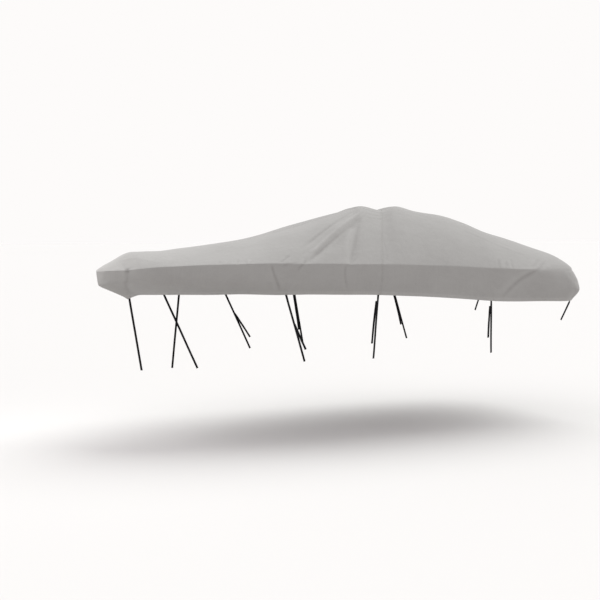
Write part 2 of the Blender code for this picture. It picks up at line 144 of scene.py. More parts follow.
def hemPoint(r, v, side):
    railX = r - leanAt(r)
    x = railX + coverShape["stemReach"] * np.maximum(1 - railX / coverShape["stemBlend"], 0) ** 2
    half = roundCorner(hemHalf(x), x)
    x = x + transomReach(r, v)
    return np.stack(np.broadcast_arrays(x, side * v * half, hemHeight(x)), -1)


def outward(r, v, side):
    # the way the skirt faces, level: square to the rail, and straight aft across the stern
    x, step = r - leanAt(r), 0.0005
    low, high = np.maximum(x - step, 0), np.minimum(x + step, coverLength)
    grows = (halfBeam(high) - halfBeam(low)) / (high - low)
    way = np.stack(np.broadcast_arrays(-grows, side + 0 * grows, 0 * grows), -1)
    way = way / np.linalg.norm(way, axis=-1, keepdims=True)
    return np.where((np.broadcast_arrays(v, way[..., 0])[0] < 1)[..., None], (1.0, 0.0, 0.0), way)


def softAbove(x, start, roundness):
    # x - start above start and 0 below it, with the corner rounded
    return (x - start + np.sqrt((x - start) ** 2 + roundness ** 2)) / 2


def skirtPoint(r, v, side, w):
    # w is 0 at the rail and 1 at the hem
    top, hem = deckPoint(r, v, side), hemPoint(r, v, side)
    turn, rake = coverShape["forefoot"], coverShape["stemRake"]
    stem = rake / turn * w + (1 - rake / turn) / (1 - turn) * softAbove(w, turn, coverShape["forefootRound"])
    under = w ** 3 + (stem - w ** 3) * (1 - ramp(r, 0.0, coverShape["stemRound"]))
    share = np.stack(np.broadcast_arrays(under, under, w), -1)
    middle, widest = coverShape["bulgeMiddle"], coverShape["bulgeAt"]
    stern = ramp(r - leanAt(r), coverShape["bulgeFrom"], coverLength) * (middle + (1 - middle) * v)
    rise = w / widest - softAbove(w, widest, coverShape["bulgeRound"]) / (widest * (1 - widest))
    swell = coverShape["sternBulge"] * rise - coverShape["sternTuck"] * w ** 4
    return top + (hem - top) * share + outward(r, v, side) * (stern * swell)[..., None]


def ridgeFrom(x, v):
    # the row that passes through x at v, found by nearing it step by step
    r = x
    for _ in range(30):
        r = x + leanAt(np.minimum(r, coverLength)) * np.minimum(v, 1)
    return np.minimum(r, coverLength)


def clothPoint(x, t, side):
    # t runs from 0 on the ridge through 1 at the rail to 2 at the hem
    r = ridgeFrom(x, t)
    return np.where((t <= 1)[..., None], deckPoint(r, np.minimum(t, 1), side),
                    skirtPoint(r, np.ones_like(t), side, np.clip(t - 1, 0, 1)))


# folds: each runs through three places, given by x and by t as in clothPoint. Height is in mm and below 0
# for a trough, widths are across it at its start and end, bias makes one flank steeper, sharp narrows its top
foldColumns = "side x1 t1 x2 t2 x3 t3 height startWidth endWidth bias sharp".split()
mainFolds = [
    # the crease from the windshield's peak down to the rail, with a hollow under it
    (port, 3.11, 0.24, 2.54, 0.60, 1.98, 0.98, 14, 0.100, 0.055, -0.4, 0.5),
    (port, 3.11, 0.31, 2.57, 0.655, 2.00, 1.00, -16, 0.090, 0.075, 0.3, 0.4),
    (port, 2.98, 0.43, 2.67, 0.67, 2.36, 0.84, -8, 0.15, 0.10, 0.2, 0.1),
    (port, 2.22, 0.83, 1.96, 0.92, 1.92, 1.24, -7, 0.05, 0.04, 0.0, 0.6),
    (port, 3.10, 0.13, 2.58, 0.46, 2.06, 0.78, -9, 0.09, 0.07, 0.2, 0.4),
    (port, 3.10, 0.33, 2.80, 0.68, 2.49, 1.07, -18, 0.15, 0.11, 0.4, 0.3),
    (port, 2.88, 0.48, 2.70, 0.68, 2.54, 0.89, 5, 0.09, 0.07, -0.2, 0.3),
    (starboard, 3.02, 0.36, 2.56, 0.66, 2.10, 0.90, 11, 0.13, 0.09, -0.5, 0.4),
    (starboard, 2.96, 0.48, 2.52, 0.76, 2.08, 0.96, -9, 0.14, 0.10, 0.4, 0.2),
    (starboard, 2.93, 0.46, 2.50, 0.78, 2.06, 0.99, -5, 0.08, 0.05, 0.2, 0.4),
    (starboard, 3.00, 0.46, 2.74, 0.80, 2.50, 1.04, -10, 0.13, 0.08, 0.45, 0.2),
    # where a strap draws the skirt down
    (port, 1.63, 1.02, 1.66, 1.48, 1.79, 1.94, -10, 0.05, 0.05, 0.3, 0.7),
    (port, 2.495, 1.00, 2.45, 1.38, 2.53, 1.84, -6, 0.04, 0.045, 0.2, 0.7),
    (starboard, 1.70, 1.02, 1.70, 1.48, 1.80, 1.94, -9, 0.05, 0.05, 0.3, 0.7),
    # where the bow's point turns into the side
    (port, 0.235, 0.56, 0.225, 0.80, 0.22, 1.06, -3, 0.06, 0.05, 0.3, 0.4),
    (port, 0.24, 0.90, 0.235, 1.00, 0.23, 1.12, -11, 0.06, 0.06, 0.0, 0.4),
    (port, 0.22, 1.04, 0.265, 1.45, 0.07, 1.92, -7, 0.05, 0.05, 0.3, 0.6),
    (starboard, 0.25, 0.60, 0.24, 0.84, 0.23, 1.06, -5, 0.06, 0.06, 0.3, 0.4),
    (starboard, 0.23, 0.98, 0.275, 1.45, 0.08, 1.92, -6, 0.05, 0.05, 0.3, 0.6),
    # the diagonal pull across each stern corner
    (port, 5.33, 0.86, 4.80, 1.09, 4.53, 2.02, -7, 0.06, 0.040, 0.4, 0.6),
    (port, 5.24, 0.84, 4.73, 1.06, 4.52, 1.80, 4, 0.11, 0.08, -0.4, 0.3),
    (port, 5.60, 1.52, 5.66, 1.74, 5.62, 1.97, -7, 0.07, 0.07, 0.0, 0.3),
    (starboard, 5.30, 0.88, 4.86, 1.18, 4.62, 1.88, -8, 0.06, 0.05, 0.4, 0.6),
]
# the narrow creases that a taut cover has beside and between its main folds
fineFolds = [
    (port, 3.10, 0.16, 2.66, 0.40, 2.20, 0.64, 2, 0.05, 0.07, -0.3, 0.4),
    (port, 3.13, 0.73, 3.09, 0.88, 3.00, 0.99, -3, 0.03, 0.03, 0.0, 0.6),
    (port, 2.67, 0.92, 2.60, 0.96, 2.55, 1.01, -3, 0.03, 0.03, 0.0, 0.5),
    (port, 1.91, 0.86, 1.82, 0.92, 1.72, 1.00, -5, 0.05, 0.04, 0.2, 0.6),
    (port, 1.93, 0.99, 1.82, 0.99, 1.74, 1.08, -6, 0.04, 0.04, 0.2, 0.6),
    (port, 5.25, 0.82, 5.13, 0.92, 4.98, 0.98, -5, 0.05, 0.04, 0.3, 0.5),
    (port, 5.50, 1.05, 5.56, 1.36, 5.67, 1.72, 5, 0.08, 0.08, 0.4, 0.5),
    (port, 0.24, 0.30, 0.40, 0.55, 0.60, 0.92, 2.5, 0.06, 0.08, 0.2, 0.4),
    (starboard, 3.12, 0.16, 2.70, 0.38, 2.26, 0.62, 2, 0.05, 0.07, -0.3, 0.4),
    (starboard, 2.96, 0.30, 2.40, 0.62, 1.84, 0.95, -4, 0.06, 0.05, 0.2, 0.5),
    (starboard, 3.20, 0.36, 2.94, 0.66, 2.76, 0.94, 4, 0.05, 0.06, 0.2, 0.5),
    (starboard, 2.62, 1.00, 2.66, 1.40, 2.70, 1.90, -6, 0.04, 0.045, 0.2, 0.6),
    (starboard, 5.50, 1.05, 5.54, 1.32, 5.64, 1.70, 5, 0.08, 0.08, 0.4, 0.5),
    # across the dip behind the windshield
    (port, 3.26, 0.14, 3.40, 0.19, 3.58, 0.16, -4, 0.05, 0.05, 0.0, 0.5),
    (port, 3.20, 0.24, 3.32, 0.28, 3.50, 0.23, -3, 0.04, 0.05, 0.0, 0.5),
    (port, 3.16, 0.33, 3.30, 0.36, 3.44, 0.31, -3, 0.04, 0.04, 0.0, 0.5),
    (starboard, 3.24, 0.13, 3.42, 0.19, 3.60, 0.15, -4, 0.05, 0.05, 0.0, 0.5),
    (starboard, 3.22, 0.24, 3.40, 0.30, 3.60, 0.25, -4, 0.04, 0.05, 0.0, 0.5),
]
wrinkles = {
    "steps": 40,                     # points along each fold's path
    "fadeIn": (-0.05, 0.15),         # shares of that path between which a fold rises
    "fadeOut": (0.75, 1.05),         # and dies away
    "roundFall": 1.4,                # how fast a round fold falls away from its path,
    "sharpFall": 2.2,                # and a sharp one, which is still a little round at its tip:
    "sharpTip": 0.02,
    "sharpLevel": 0.141,             # the root of that, so that the tip keeps its full height
    "reach": 2.6,                    # half widths from the path at which a fold ends
    "overMiddle": 0.15,              # it goes no further than this to the boat's other side, in metres
    "seed": 7,                       # of the folds scattered at random
    "pullsAt": (0.677, 1.851, 2.930, 4.462, 5.60),    # x of the straps that draw up short folds
    "strapPulls": 2,                 # so many at each strap
    "strapSpread": 0.09,             # and this far apart, in metres
    "puckers": [                     # side, start, end and number of the gathers along the rail
        (port, 4.50, 4.74, 5), (port, 1.02, 1.40, 4), (starboard, 4.44, 4.80, 6), (starboard, 1.10, 1.50, 4)],
    "peakDrags": 7,                  # fine lines that fan out of the windshield's peak, each side
    "aftDrags": 5,                   # and out of the seats behind it
    "billow": 4.0,                   # mm, the slow waves of the whole cloth
    "uneven": [                      # mm, how often along x, y and z to the metre, and a shift of the pattern
        (3.0, (2.1, 3.4, 3.4), (0.0, 0.0, 9.0)),
        (0.9, (9.0, 13.0, 13.0), (3.0, 0.0, 0.0)),
        (0.36, (24.0, 30.0, 30.0), (0.0, 0.0, 5.0))],
}


def scatteredFolds():
    rng = np.random.default_rng(wrinkles["seed"])
    rows = []

    def height(low, high, n):
        # troughs and ridges by turns
        return rng.uniform(low, high) * (1 if n % 2 else -1)

    pulls, foot = wrinkles["strapPulls"], 1.93       # t just above the hem
    for x in wrinkles["pullsAt"]:
        for side in (port, starboard):
            for n in range(pulls):
                fan = (n - (pulls - 1) / 2) * wrinkles["strapSpread"]
                tall = rng.uniform(0.25, 0.6)
                bend = rng.uniform(-0.02, 0.02)
                rows.append((side, x + fan * 0.25, foot, x + fan * 0.7 + bend, foot - tall * 0.5,
                             min(x + fan * 1.5, 5.70), foot - tall,
                             height(0.8, 1.8, n), 0.03, 0.05, 0.0, 0.4))
    for side, start, end, count in wrinkles["puckers"]:
        for n in range(count):
            x = start + (end - start) * (n + rng.uniform(0.2, 0.8)) / count
            rows.append((side, x, 1.01, x + rng.uniform(0.02, 0.04), 0.95, x + rng.uniform(0.05, 0.10),
                         rng.uniform(0.87, 0.92), height(3.0, 5.0, n), 0.035, 0.045, 0.0, 0.4))
    for side in (port, starboard):
        for n in range(wrinkles["peakDrags"]):
            share = (n + rng.uniform(0.2, 0.8)) / wrinkles["peakDrags"]
            reach = rng.uniform(0.5, 1.1)
            x, t = 3.26 - 0.1 * share, 0.06 + 0.26 * share       # down the slope of the peak
            rows.append((side, x, t, x - reach * 0.45, t + reach * (0.10 + 0.25 * share), x - reach,
                         min(t + reach * (0.25 + 0.45 * share), 0.96),
                         height(0.8, 2.0, n), 0.03, 0.06, 0.2, 0.5))
        for n in range(wrinkles["aftDrags"]):
            share = (n + rng.uniform(0.2, 0.8)) / wrinkles["aftDrags"]
            reach = rng.uniform(0.5, 0.9)
            x, t = 4.30 + 0.2 * share, 0.55 - 0.25 * share       # around the top of the seats
            rows.append((side, x, t, x + reach * 0.5, t + 0.16, x + reach, min(t + 0.30, 0.94),
                         height(0.8, 2.0, n), 0.05, 0.08, 0.2, 0.3))
    return rows


def foldPath(fold):
    s = np.linspace(0, 1, wrinkles["steps"])
    x, t = ((1 - s) ** 2 * fold[c + "1"] + 2 * s * (1 - s) * fold[c + "2"] + s * s * fold[c + "3"]
            for c in "xt")
    width = fold["startWidth"] + (fold["endWidth"] - fold["startWidth"]) * s
    strength = ramp(s, *wrinkles["fadeIn"]) * (1 - ramp(s, *wrinkles["fadeOut"]))
    return clothPoint(x, t, fold["side"]), width / 2, strength


def nearestOnPath(points, path):
    # for each point: the nearest stretch of the path, the share along it, the way from there to the point,
    # and the way along the stretch
    starts, steps = path[:-1], np.diff(path, axis=0)
    share = np.einsum("nkc,kc->nk", points[:, None] - starts, steps)
    share = np.clip(share / np.maximum((steps ** 2).sum(1), 1e-12), 0, 1)
    apart = points[:, None] - (starts + steps * share[..., None])
    k = (apart ** 2).sum(2).argmin(1)
    n = np.arange(len(points))
    return k, share[n, k], apart[n, k], steps[k]


def foldLift(points, normals):
    lift = np.zeros(len(points))
    for row in mainFolds + fineFolds + scatteredFolds():
        fold = dict(zip(foldColumns, row))
        path, half, strength = foldPath(fold)
        reach = half.max() * wrinkles["reach"]
        near = np.all((points > path.min(0) - reach) & (points < path.max(0) + reach), axis=1)
        near &= fold["side"] * points[:, 1] > -wrinkles["overMiddle"]
        chosen = np.flatnonzero(near)
        if not len(chosen):
            continue
        k, s, apart, along = nearestOnPath(points[chosen], path)
        halfHere = half[k] + (half[k + 1] - half[k]) * s
        strong = strength[k] + (strength[k + 1] - strength[k]) * s
        flank = np.sign(np.einsum("nc,nc->n", np.cross(along, apart), normals[chosen])) * fold["side"]
        q = np.sqrt((apart ** 2).sum(1)) / halfHere * (1 + fold["bias"] * flank)     # 1 at half the width
        rounded = np.exp(-wrinkles["roundFall"] * q * q)
        fromTip = np.sqrt(q * q + wrinkles["sharpTip"]) - wrinkles["sharpLevel"]
        peaked = np.exp(-wrinkles["sharpFall"] * fromTip)
        lift[chosen] += fold["height"] / 1000 * strong * (rounded + (peaked - rounded) * fold["sharp"])
    return lift


def unevenness(points):
    # two long waves across each other and a shorter one, in radians to the metre
    x, y = points[:, 0], points[:, 1]
    waves = np.sin(3.7 * x + 1.9 * y + 0.6) * np.sin(5.3 * y - 1.1 * x)
    lift = wrinkles["billow"] / 1000 * (waves + 0.6 * np.sin(8.3 * x - 4.1 * y + 2.0))
    for height, often, shift in wrinkles["uneven"]:
        spots = points * often + shift
        lift += height / 1000 * np.array([noise.noise(Vector(spot)) for spot in spots.tolist()])
    return lift


# the cloth's make, in metres
clothMake = {
    "deckHalf": 1.28,                # typical distance from ridge to rail
    "deckStrip": 0.0185,             # width of the strips of faces across the top
    "skirtDepth": 0.34,
    "skirtRows": 16,
    "cloth": 0.0009,                 # thickness of one layer
    "hem": 0.027,                    # width of the folded hem
    "hemStand": 0.0011,              # its outer layer stands this far proud at the stitching,
    "hemRise": 0.004,                # and takes this much width to do so
    "hemFlare": 0.0022,              # and its edge flares this much more
    "hemGap": 0.0003,                # between its layers
    "hemRoll": 0.0007,               # its turned edge reaches this far down
    "creaseRound": (0.0066, 0.0176),     # the cloth turns over the rail within these distances of its edge
    "creaseRounds": 8,               # rounds of smoothing there
    "sternRound": 0.11,              # and over the stern corners, which have no hard edge, within this one
    "sternRoundFrom": 4.85,          # that wider turn starts here
    "sternRoundTo": 5.55,            # and is whole here
    "sternTrim": 0.22,               # it takes this share of its width off the edge
    "trimRounds": 10,                # rounds of smoothing of the normals that it is trimmed along,
    "sternRounds": 12,               # and of the trimmed cloth
    "sternBlend": 0.02,              # it joins the cloth around it over this distance
    "seamPull": 0.0006,              # the two stitched rows draw the cloth in this far,
    "seamPullAt": 0.001,             # this far aft of the seam
    "seamPullWidth": 0.006,
    "lap": 0.0014,                   # the bow panel's edge lies this far over the stern panel,
    "lapRise": (0.022, 0.0132),      # and rises to that between these distances from the seam
    "grime": 0.0003,                 # painted shadow: the finish is as dark along the lap's edge as in a hollow this deep,
    "grimeAt": 0.008,                # this far aft of the seam
    "grimeWidth": 0.004,
}
edgeSteps = [0.0035, 0.0075, 0.012, 0.019, 0.029]     # rows of points beside a crease
hemSteps = [0.027, 0.0255, 0.022, 0.016, 0.010, 0.005, 0.002, 0.0]   # and up from the hem's edge
farAway = 9.0                        # stands for a distance that doesn't matter


def deckShares():
    plain = np.arange(0, clothMake["deckHalf"] - edgeSteps[-1] - 0.01, clothMake["deckStrip"])
    beside = 1 - np.array(edgeSteps[::-1]) / clothMake["deckHalf"]
    return np.concatenate([plain / clothMake["deckHalf"], beside, [1.0]])


def skirtShares():
    # shares of the way from the rail to the top of the hem
    beside = np.array(edgeSteps) / clothMake["skirtDepth"]
    plain = np.linspace(beside[-1], 1, clothMake["skirtRows"])[1:-1]
    return np.concatenate([beside, plain])


deckRows, skirtRows = deckShares(), skirtShares()
rowsBelow = len(skirtRows) + len(hemSteps)
# for each row below the rail, how far it is from the crease and above the hem's edge, or -1 over the hem
belowFromEdge = np.concatenate([skirtRows * clothMake["skirtDepth"], np.full(len(hemSteps), farAway)])
belowAboveHem = np.concatenate([np.full(len(skirtRows), -1.0), hemSteps])


def skirtRowsAt(r, v, side):
    # w of each row below the rail, so that the hem's rows keep their distance from its edge
    w = np.linspace(0, 1, 9)         # enough places to measure the skirt's depth
    line = skirtPoint(r[:, None], v[:, None], side, w[None, :])
    depth = np.linalg.norm(np.diff(line, axis=1), axis=2).sum(1)[:, None]
    upper = skirtRows[None, :] * (1 - clothMake["hem"] / depth)
    return np.concatenate([upper, 1 - np.array(hemSteps)[None, :] / depth], axis=1), depth


def pointNormals(points, faces):
    quads = np.array([f if len(f) == 4 else (*f, f[-1]) for f in faces])
    a, b, c, d = (points[quads[:, k]] for k in range(4))
    up = np.cross(c - a, d - b)
    normals = np.zeros_like(points)
    for k in range(4):
        np.add.at(normals, quads[:, k], up)
    return normals / np.maximum(np.linalg.norm(normals, axis=1, keepdims=True), 1e-12)


def neighbourMean(values, edges, count):
    total = np.zeros_like(values)
    np.add.at(total, edges[:, 0], values[edges[:, 1]])
    np.add.at(total, edges[:, 1], values[edges[:, 0]])
    return total / (count if values.ndim == 1 else count[:, None])


def relaxed(values, edges, count, soft, rounds):
    # where soft is 1, each value moves halfway to the mean of its neighbours, round by round
    for _ in range(rounds):
        values = values + (neighbourMean(values, edges, count) - values) * soft * 0.5
    return values


class Cloth:
    def __init__(self):
        self.points, self.faces, self.uvs = [], [], []
        self.marks = []              # distance from a crease, height above the hem's edge or -1, r of its row
        self.hemGrid, self.hemUv = [], []    # rows of points from the hem's stitching down to its edge

    def add(self, place, mark):
        self.points.append(place)
        self.marks.append(mark)
        return len(self.points) - 1

    def face(self, corners, uvs):
        kept = [n for n in range(len(corners)) if corners[n] != corners[n - 1]]
        if len(kept) > 2:
            self.faces.append([corners[n] for n in kept])
            self.uvs.append([uvs[n] for n in kept])


def layCloth(stations, isBow):
    # the bow panel closes at the bow's tip and down the stem, the stern panel runs down across the stern
    cloth = Cloth()
    one = np.ones(len(stations))
    w = skirtRowsAt(stations, one, starboard)[0]
    halves = {}
    for side in (port, starboard):
        deck = deckPoint(stations[:, None], deckRows[None, :], side)
        skirt = skirtPoint(stations[:, None], one[:, None], side, w)
        halves[side] = np.concatenate([deck, skirt], axis=1)
    down = len(deckRows) + rowsBelow
    lines = [(port, n) for n in range(down - 1, 0, -1)] + [(starboard, n) for n in range(down)]
    fromEdge = np.concatenate([(1 - deckRows) * clothMake["deckHalf"], belowFromEdge])
    aboveHem = np.concatenate([np.full(len(deckRows), -1.0), belowAboveHem])
    index, uv, tip = {}, {}, None
    for i, r in enumerate(stations):
        steps = {side: np.linalg.norm(np.diff(halves[side][i], axis=0), axis=1) for side in (port, starboard)}
        girth = {side: np.concatenate([[0], np.cumsum(steps[side])]) for side in (port, starboard)}
        for j, (side, n) in enumerate(lines):
            place, onDeck = halves[side][i, n], n < len(deckRows)
            uv[i, j] = (place[0], side * girth[side][n])
            if isBow and i == 0 and onDeck:
                tip = cloth.add(place, (0.0, -1.0, r)) if tip is None else tip
                index[i, j] = tip
            elif isBow and i == 0 and side == starboard:
                index[i, j] = index[0, len(lines) - 1 - j]
            else:
                sternEdge = farAway if isBow or not onDeck else coverLength - r
                index[i, j] = cloth.add(place, (min(fromEdge[n], sternEdge), aboveHem[n], r))
    for i in range(len(stations) - 1):
        for j in range(len(lines) - 1):
            corners = [(i, j), (i + 1, j), (i + 1, j + 1), (i, j + 1)]
            cloth.face([index[c] for c in corners], [uv[c] for c in corners])
    for js in (range(len(hemSteps) - 1, -1, -1), range(len(lines) - len(hemSteps), len(lines))):
        cloth.hemGrid.append([[index[i, j] for i in range(len(stations))] for j in js])
        cloth.hemUv.append([[uv[i, j] for i in range(len(stations))] for j in js])
    cloth.rows = [[index[i, j] for j in range(len(lines))] for i in range(len(stations))]
    if not isBow:
        addStern(cloth, lines)
    return cloth


def addStern(cloth, lines):
    # the skirt below the last row of the top, between the two sides
    last = cloth.rows[-1]
    top = [j for j in range(len(lines)) if lines[j][1] < len(deckRows)]
    shares = np.array([deckRows[lines[j][1]] for j in top])
    sides = np.array([lines[j][0] for j in top])
    r = np.full(len(top), coverLength)
    w, depth = skirtRowsAt(r, shares, sides[:, None])
    places = skirtPoint(r[:, None], shares[:, None], sides[:, None], w)
    grid, uv = {}, {}
    for k, j in enumerate(top):
        grid[k, 0] = last[j]
        uv[k, 0] = (coverLength, places[k, 0][1])
        for m in range(rowsBelow):
            uv[k, m + 1] = (coverLength + w[k, m] * depth[k, 0], places[k, m][1])
            if k == 0:
                grid[k, m + 1] = last[top[0] - 1 - m]
            elif k == len(top) - 1:
                grid[k, m + 1] = last[top[-1] + 1 + m]
            else:
                grid[k, m + 1] = cloth.add(places[k, m], (belowFromEdge[m], belowAboveHem[m], coverLength))
    for k in range(len(top) - 1):
        for m in range(rowsBelow):
            corners = [(k, m), (k, m + 1), (k + 1, m + 1), (k + 1, m)]
            cloth.face([grid[c] for c in corners], [uv[c] for c in corners])
    hemRows = range(rowsBelow - len(hemSteps) + 1, rowsBelow + 1)
    cloth.hemGrid.append([[grid[k, m] for k in range(len(top))] for m in hemRows])
    cloth.hemUv.append([[uv[k, m] for k in range(len(top))] for m in hemRows])


def shapeCloth(cloth, isBow):
    points = np.array(cloth.points)
    fromCrease, aboveHem, row = np.array(cloth.marks).T
    edges = np.array([(f[n - 1], f[n]) for f in cloth.faces for n in range(len(f))])
    edges = np.unique(np.sort(edges, axis=1), axis=0)
    count = np.bincount(edges.ravel(), minlength=len(points)).astype(float)
    # round the creases over the rail and the stern
    soft = 1 - ramp(fromCrease, *clothMake["creaseRound"])
    points = relaxed(points, edges, count, soft[:, None], clothMake["creaseRounds"])
    # the crease runs out towards the stern corners, trimmed along smoothed normals
    normals = pointNormals(points, cloth.faces)
    for _ in range(clothMake["trimRounds"]):
        normals = neighbourMean(normals, edges, count)
    normals /= np.linalg.norm(normals, axis=1, keepdims=True)
    start, end = clothMake["sternRoundFrom"], clothMake["sternRoundTo"]
    reach = clothMake["sternRound"] * ramp(points[:, 0], start, end)
    within = np.maximum(reach - fromCrease, 0)
    trim = clothMake["sternTrim"] * within ** 2 / np.maximum(reach, 0.001)
    points = points - normals * trim[:, None]
    soft = ramp(within, 0, clothMake["sternBlend"])
    points = relaxed(points, edges, count, soft[:, None], clothMake["sternRounds"])
    # folds, the pull of the seam and the lap over it
    normals = pointNormals(points, cloth.faces)
    lift = foldLift(points, normals) + unevenness(points)
    fromPull = row - seamAt - clothMake["seamPullAt"]
    lift -= clothMake["seamPull"] * np.exp(-(fromPull / clothMake["seamPullWidth"]) ** 2)
    if isBow:
        start, end = clothMake["lapRise"]
        lift += clothMake["lap"] * ramp(row, seamAt - start, seamAt - end)
    # bend tells the finish where the cloth is hollow (above 0), which it darkens as painted shade, and where
    # it stands up in a ridge (below 0), which it paints paler
    bend = relaxed(neighbourMean(lift, edges, count) - lift, edges, count, 1, 3)
    # painted shadow of the lap's edge: a thin dark line aft of the seam, added to bend as if it were a hollow
    fromLapShadow = row - seamAt - clothMake["grimeAt"]
    bend += clothMake["grime"] * np.exp(-(fromLapShadow / clothMake["grimeWidth"]) ** 2)
    # the hem's outer layer stands a little proud below its stitching and flares at its edge
    inHem = aboveHem >= 0
    below = clothMake["hem"] - aboveHem
    proud = ramp(below, 0, clothMake["hemRise"]) * clothMake["hemStand"]
    flare = ramp(below, clothMake["hemRise"], clothMake["hem"]) * clothMake["hemFlare"]
    points = points + normals * (lift + np.where(inHem, proud + flare, 0))[:, None]
    cloth.normals = pointNormals(points, cloth.faces)
    cloth.shaped, cloth.bend, cloth.hemMark = points, bend, np.where(inHem, 1.0, 0.0)


def foldHem(cloth):
    # the hem turns under its own edge and runs back up inside
    points, bend, hemMark = list(cloth.shaped), list(cloth.bend), list(cloth.hemMark)
    inward = clothMake["cloth"] * 2 + clothMake["hemGap"]
    folded = {}

    def turned(v, above=None):
        # the point inside v, or under it at the hem's edge, where above is the point over v
        key = (v, above is None)
        if key not in folded:
            place = cloth.shaped[v] - cloth.normals[v] * inward * (1 if above is None else 0.5)
            if above is not None:
                down = cloth.shaped[v] - cloth.shaped[above]
                place += down / max(np.linalg.norm(down), 1e-9) * clothMake["hemRoll"]
            side = np.sign(cloth.shaped[v][1])
            place[1] = side * max(side * place[1], 0)
            points.append(place)
            bend.append(0.0)
            hemMark.append(1.0)
            folded[key] = len(points) - 1
        return folded[key]

    for grid, uvs in zip(cloth.hemGrid, cloth.hemUv):
        edge, above = grid[-1], grid[-2]
        layers, layerUvs = [edge, [turned(e, a) for e, a in zip(edge, above)]], [uvs[-1], uvs[-1]]
        for m in range(len(grid) - 2, 0, -1):
            layers.append([turned(e) for e in grid[m]])
            layerUvs.append(uvs[m])
        for low, high, lowUv, highUv in zip(layers, layers[1:], layerUvs, layerUvs[1:]):
            for k in range(len(low) - 1):
                corners = [low[k], high[k], high[k + 1], low[k + 1]]
                cornerUvs = [lowUv[k], highUv[k], highUv[k + 1], lowUv[k + 1]]
                if grid is cloth.hemGrid[0]:         # the port side, where the rows run the other way
                    corners.reverse()
                    cornerUvs.reverse()
                cloth.face(corners, cornerUvs)
    cloth.finalPoints, cloth.finalBend, cloth.finalHem = np.array(points), np.array(bend), np.array(hemMark)


def addToScene(name, data):
    piece = bpy.data.objects.new(name, data)
    scene.collection.objects.link(piece)
    return piece


def clothObject(cloth, name, material):
    mesh = bpy.data.meshes.new(name)
    mesh.from_pydata([tuple(p) for p in cloth.finalPoints - np.array(coverShape["origin"])], [], cloth.faces)
    layer = mesh.uv_layers.new(name="clothMetres")
    layer.data.foreach_set("uv", np.array([c for uv in cloth.uvs for c in uv], np.float32).ravel())
    # bend carries painted shade for the hollows and the lap's edge; hemBand marks the hem, which the finish
    # paints paler for the doubled cloth and as painted light bounced up from the floor
    for label, values in (("bend", cloth.finalBend * 1000), ("hemBand", cloth.finalHem)):
        attribute = mesh.attributes.new(label, "FLOAT", "POINT")
        attribute.data.foreach_set("value", values.astype(np.float32))
    mesh.materials.append(material)
    mesh.shade_smooth()
    mesh.validate()
    piece = addToScene(name, mesh)
    thicken = piece.modifiers.new("clothThickness", "SOLIDIFY")
    thicken.thickness = clothMake["cloth"]
    thicken.offset = -1
    return piece


def stationsBetween(start, *stretches):
    # rows from start on, through stretches of (end, spacing)
    out = [start]
    for end, spacing in stretches:
        steps = max(int(round((end - out[-1]) / spacing)), 1)
        out += list(np.linspace(out[-1], end, steps + 1)[1:])
    return np.array(out)


# where the rows of points cross the ridge, in metres
rowPlaces = {
    "step": 0.0168,
    "tipEnd": 0.34,                  # up to here they crowd towards the bow's tip,
    "tipRows": 25,
    "tipCrowding": 1.7,              # by this power
    "bySeam": 0.03,                  # they are closer within this distance of the seam
    "bowSeamStep": 0.004,
    "sternSeamStep": 0.005,
    "bowOver": 0.010,                # the bow panel ends this far aft of the seam
    "sternUnder": 0.013,             # and the stern panel starts this far forward of it
    "cornerRows": 19,                # around the stern corner,
    "cornerApart": 0.0025,           # no closer than this
}


def bowRowPlaces():
    end = rowPlaces["tipEnd"]
    tip = end * np.linspace(0, 1, rowPlaces["tipRows"] + 1)[:-1] ** rowPlaces["tipCrowding"]
    return np.concatenate([tip, stationsBetween(
        end, (seamAt - rowPlaces["bySeam"], rowPlaces["step"]),
        (seamAt + rowPlaces["bowOver"], rowPlaces["bowSeamStep"]))])


def sternRowPlaces():
    radius = coverShape["sternCorner"]
    turn = np.linspace(0, math.pi / 2, rowPlaces["cornerRows"] + 1)[1:]
    around = np.concatenate([coverLength - radius * (1 - np.sin(turn)), coverLength - np.array(edgeSteps)])
    around = np.unique(around)
    around = around[np.append(np.diff(around) > rowPlaces["cornerApart"], True)]
    return np.concatenate([stationsBetween(
        seamAt - rowPlaces["sternUnder"], (seamAt + rowPlaces["bySeam"], rowPlaces["sternSeamStep"]),
        (coverLength - radius, rowPlaces["step"])), around])


bowStations, sternStations = bowRowPlaces(), sternRowPlaces()


def linear(hexColour):
    parts = [int(hexColour[n:n + 2], 16) / 255 for n in (1, 3, 5)]
    return tuple(p / 12.92 if p <= 0.04045 else ((p + 0.055) / 1.055) ** 2.4 for p in parts) + (1.0,)


def newMaterial(name):
    made = bpy.data.materials.new(name)
    made.use_nodes = True
    return made, made.node_tree, made.node_tree.nodes["Principled BSDF"]


def setInputs(tree, node, inputs):
    # inputs: a name or number, and either the output that feeds it or its value
    for key, value in inputs.items():
        if isinstance(value, bpy.types.NodeSocket):
            tree.links.new(value, node.inputs[key])
        else:
            node.inputs[key].default_value = value


def addNode(tree, kind, inputs=None, **settings):
    node = tree.nodes.new(kind)
    for key, value in settings.items():
        setattr(node, key, value)
    setInputs(tree, node, inputs or {})
    return node


